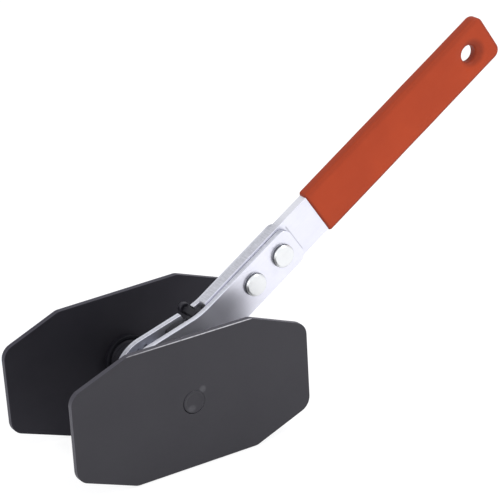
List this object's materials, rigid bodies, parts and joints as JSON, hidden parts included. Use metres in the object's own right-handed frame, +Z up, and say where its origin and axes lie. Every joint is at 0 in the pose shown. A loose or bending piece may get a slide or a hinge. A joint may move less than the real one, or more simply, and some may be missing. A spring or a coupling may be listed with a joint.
{
  "type": "ratcheting brake piston spreader",
  "caption": "Hand tool with a flat gripped handle and a reversible ratchet barrel between riveted cheeks; opposed screws drive two flat eight-sided plates apart or together.",
  "frame": {"origin": "middle of the near plate's lower edge, on which the tool stands, straight below the screw axis; the screw axis runs 31.2 mm above it, and the middle of the ratchet head is at x 0, y 30.8, z 31.2 mm", "axes": "+X along the plates' long side towards the handle's side, +Y along the screw axis from the near plate to the far plate, +Z up; the handle leaves the head 32.8 degrees above +X"},
  "size_m": [0.2532, 0.0645, 0.1617],
  "materials": {
    "plate_black": "satin charcoal baked coating over rolled steel plate",
    "screw_black": "black oxide, oiled, turned threads",
    "black_oxide": "matt black oxide",
    "zinc_steel": "bright blue-white zinc plating over stamped sheet steel",
    "gear_steel": "machined steel with a dark heat-treated skin, lightly oiled",
    "spring_steel": "drawn spring wire",
    "grip_vinyl": "satin dip-coated orange-red vinyl"
  },
  "bodies": {
    "handle": {"handle_bar": "zinc_steel", "grip_sleeve": "grip_vinyl", "near_cheek": "zinc_steel", "far_cheek": "zinc_steel", "rivet_inner": "zinc_steel", "rivet_outer": "zinc_steel", "pawl_pivot_pin": "zinc_steel", "detent_spring": "spring_steel"},
    "barrel": {"ratchet_barrel": "gear_steel"},
    "pawl": {"pawl": "black_oxide", "reversing_lever": "black_oxide", "lever_knob": "black_oxide"},
    "detent": {"detent_plunger": "spring_steel"},
    "far_washer": {"far_thrust_washer": "screw_black"},
    "far_spindle": {"far_screw": "screw_black", "far_plate": "plate_black"},
    "near_washer": {"near_thrust_washer": "screw_black"},
    "near_spindle": {"near_screw": "screw_black", "near_plate": "plate_black"}
  },
  "joints": [
    {"name": "barrel_turn", "type": "hinge", "parent": "handle", "child": "barrel", "pos_m": [0, 0.0308, 0.0312], "axis": [0, 1, 0], "continuous": true},
    {"name": "pawl_flip", "type": "hinge", "parent": "handle", "child": "pawl", "pos_m": [0.02059, 0.0308, 0.04448], "axis": [0, -1, 0], "range_deg": [0, 12]},
    {"name": "detent_press", "type": "slide", "parent": "handle", "child": "detent", "axis": [0.8403, 0, 0.5421], "range_m": [0, 0.0008], "stiffness_N_per_m": 800, "deforming": ["detent_spring"]},
    {"name": "far_travel", "type": "slide", "parent": "barrel", "child": "far_washer", "axis": [0, -1, 0], "range_m": [0, 0.0125]},
    {"name": "far_turn", "type": "hinge", "parent": "far_washer", "child": "far_spindle", "pos_m": [0, 0.0588, 0.0312], "axis": [0, 1, 0], "range_deg": [0, 1800]},
    {"name": "near_travel", "type": "slide", "parent": "barrel", "child": "near_washer", "axis": [0, 1, 0], "range_m": [0, 0.0125]},
    {"name": "near_turn", "type": "hinge", "parent": "near_washer", "child": "near_spindle", "pos_m": [0, 0.0028, 0.0312], "axis": [0, 1, 0], "range_deg": [0, 1800]}
  ],
  "couplings": [
    {"joint": "far_turn", "follows": "far_travel", "rad_per_m": 2513.3},
    {"joint": "near_travel", "follows": "far_travel", "ratio": 1},
    {"joint": "near_turn", "follows": "far_travel", "rad_per_m": 2513.3}
  ]
}
